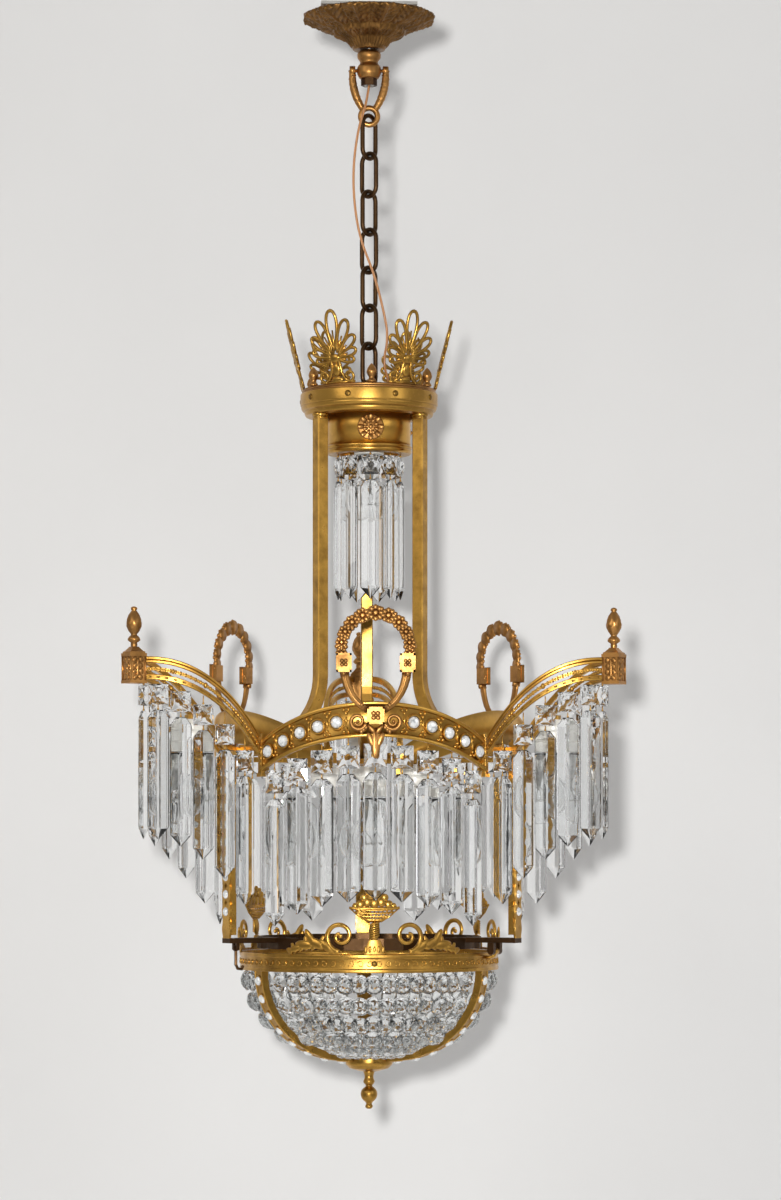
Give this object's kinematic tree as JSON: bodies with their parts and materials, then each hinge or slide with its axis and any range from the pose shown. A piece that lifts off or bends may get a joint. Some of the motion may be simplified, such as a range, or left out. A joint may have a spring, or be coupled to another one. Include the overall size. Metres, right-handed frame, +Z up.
{
  "type": "crystal chandelier",
  "caption": "Three-sided gilt brass ceiling light on a chain, hung with long cut prisms, with a beaded glass bowl below that swings open on a hinge.",
  "frame": {"origin": "centre of the strap's upper face, where it meets the ceiling", "axes": "+Z up, -Y to the front arch, +X to the right"},
  "size_m": [0.4878, 0.44, 1.106],
  "materials": {
    "gilt_brass": "satin, gilt",
    "dark_brass": "dark patina",
    "rose_brass": "bronzed",
    "crystal": "cut and polished",
    "lamp_glass": "clear",
    "white_socket": "gloss",
    "zinc": "zinc plated",
    "flex": "copper-coloured"
  },
  "bodies": {
    "ceiling": {"ceiling_strap": "zinc", "threaded_nipple": "zinc", "canopy": "rose_brass", "canopy_collar": "rose_brass", "nipple_nut": "dark_brass"},
    "loop": {"hanging_loop": "rose_brass"},
    "link_1": {"chain_link_1": "dark_brass"},
    "link_2": {"chain_link_2": "dark_brass"},
    "link_3": {"chain_link_3": "dark_brass"},
    "link_4": {"chain_link_4": "dark_brass"},
    "link_5": {"chain_link_5": "dark_brass"},
    "link_6": {"chain_link_6": "dark_brass"},
    "link_7": {"chain_link_7": "dark_brass"},
    "catch": {"catch_hook": "dark_brass"},
    "bowl": {"bowl_ring": "gilt_brass", "bowl_ribs": "gilt_brass", "rib_jewels": "crystal", "bowl_beads": "crystal", "bowl_cap": "gilt_brass", "bowl_finial": "gilt_brass", "bowl_ornaments": "gilt_brass"},
    "frame": {"arch_beads": "crystal", "arch_front": "gilt_brass", "arch_left": "gilt_brass", "arch_prisms": "crystal", "arch_right": "gilt_brass", "body_eye": "dark_brass", "corner_blocks": "rose_brass", "cross_bars": "gilt_brass", "crown_band": "gilt_brass", "crown_palmettes": "rose_brass", "drum_lower_ring": "gilt_brass", "drum_rim": "gilt_brass", "drum_rosettes": "gilt_brass", "drum_shell": "gilt_brass", "drum_top_plate": "gilt_brass", "flame_finials": "rose_brass", "grille_left": "gilt_brass", "grille_rear": "gilt_brass", "grille_right": "gilt_brass", "jewelled_strips": "gilt_brass", "junction_castings": "gilt_brass", "lamp_bridge": "gilt_brass", "lamp_bulbs": "lamp_glass", "lamp_sockets": "white_socket", "lobe_beads": "crystal", "lobe_prisms": "crystal", "lower_hoop": "dark_brass", "pendant_pins": "gilt_brass", "post_left": "gilt_brass", "post_rear": "gilt_brass", "post_right": "gilt_brass", "rim_screws": "gilt_brass", "set_jewels": "crystal", "supply_cord": "flex", "upper_beads": "crystal", "upper_prisms": "crystal", "wreath_front": "rose_brass", "wreath_left": "rose_brass", "wreath_right": "rose_brass"}
  },
  "joints": [
    {"name": "loop_swing", "type": "hinge", "parent": "ceiling", "child": "loop", "pos_m": [0, 0, -0.068], "axis": [1, 0, 0], "range_deg": [-6, 6]},
    {"name": "link_1_swing", "type": "hinge", "parent": "loop", "child": "link_1", "pos_m": [0, 0, -0.1219], "axis": [1, 0, 0], "range_deg": [-6, 6]},
    {"name": "link_2_swing", "type": "hinge", "parent": "link_1", "child": "link_2", "pos_m": [0, 0, -0.1556], "axis": [0.7071, 0.7071, 0], "range_deg": [-7, 7]},
    {"name": "link_3_swing", "type": "hinge", "parent": "link_2", "child": "link_3", "pos_m": [0, 0, -0.1936], "axis": [0.7071, -0.7071, 0], "range_deg": [-7, 7]},
    {"name": "link_4_swing", "type": "hinge", "parent": "link_3", "child": "link_4", "pos_m": [0, 0, -0.2316], "axis": [0.7071, 0.7071, 0], "range_deg": [-7, 7]},
    {"name": "link_5_swing", "type": "hinge", "parent": "link_4", "child": "link_5", "pos_m": [0, 0, -0.2696], "axis": [0.7071, -0.7071, 0], "range_deg": [-7, 7]},
    {"name": "link_6_swing", "type": "hinge", "parent": "link_5", "child": "link_6", "pos_m": [0, 0, -0.3076], "axis": [0.7071, 0.7071, 0], "range_deg": [-7, 7]},
    {"name": "link_7_swing", "type": "hinge", "parent": "link_6", "child": "link_7", "pos_m": [0, 0, -0.3456], "axis": [0.7071, -0.7071, 0], "range_deg": [-7, 7]},
    {"name": "body_swing", "type": "hinge", "parent": "link_7", "child": "frame", "pos_m": [0, 0, -0.3836], "axis": [0.7071, 0.7071, 0], "range_deg": [-7, 7], "deforming": ["supply_cord"]},
    {"name": "bowl_hinge", "type": "hinge", "parent": "frame", "child": "bowl", "pos_m": [0.12081, -0.06975, -0.9465], "axis": [-0.5, -0.866, 0], "range_deg": [0, 75]},
    {"name": "catch_swing", "type": "hinge", "parent": "frame", "child": "catch", "pos_m": [-0.13337, -0.077, -0.943], "axis": [0.5, -0.866, 0], "range_deg": [-25, 30]}
  ]
}
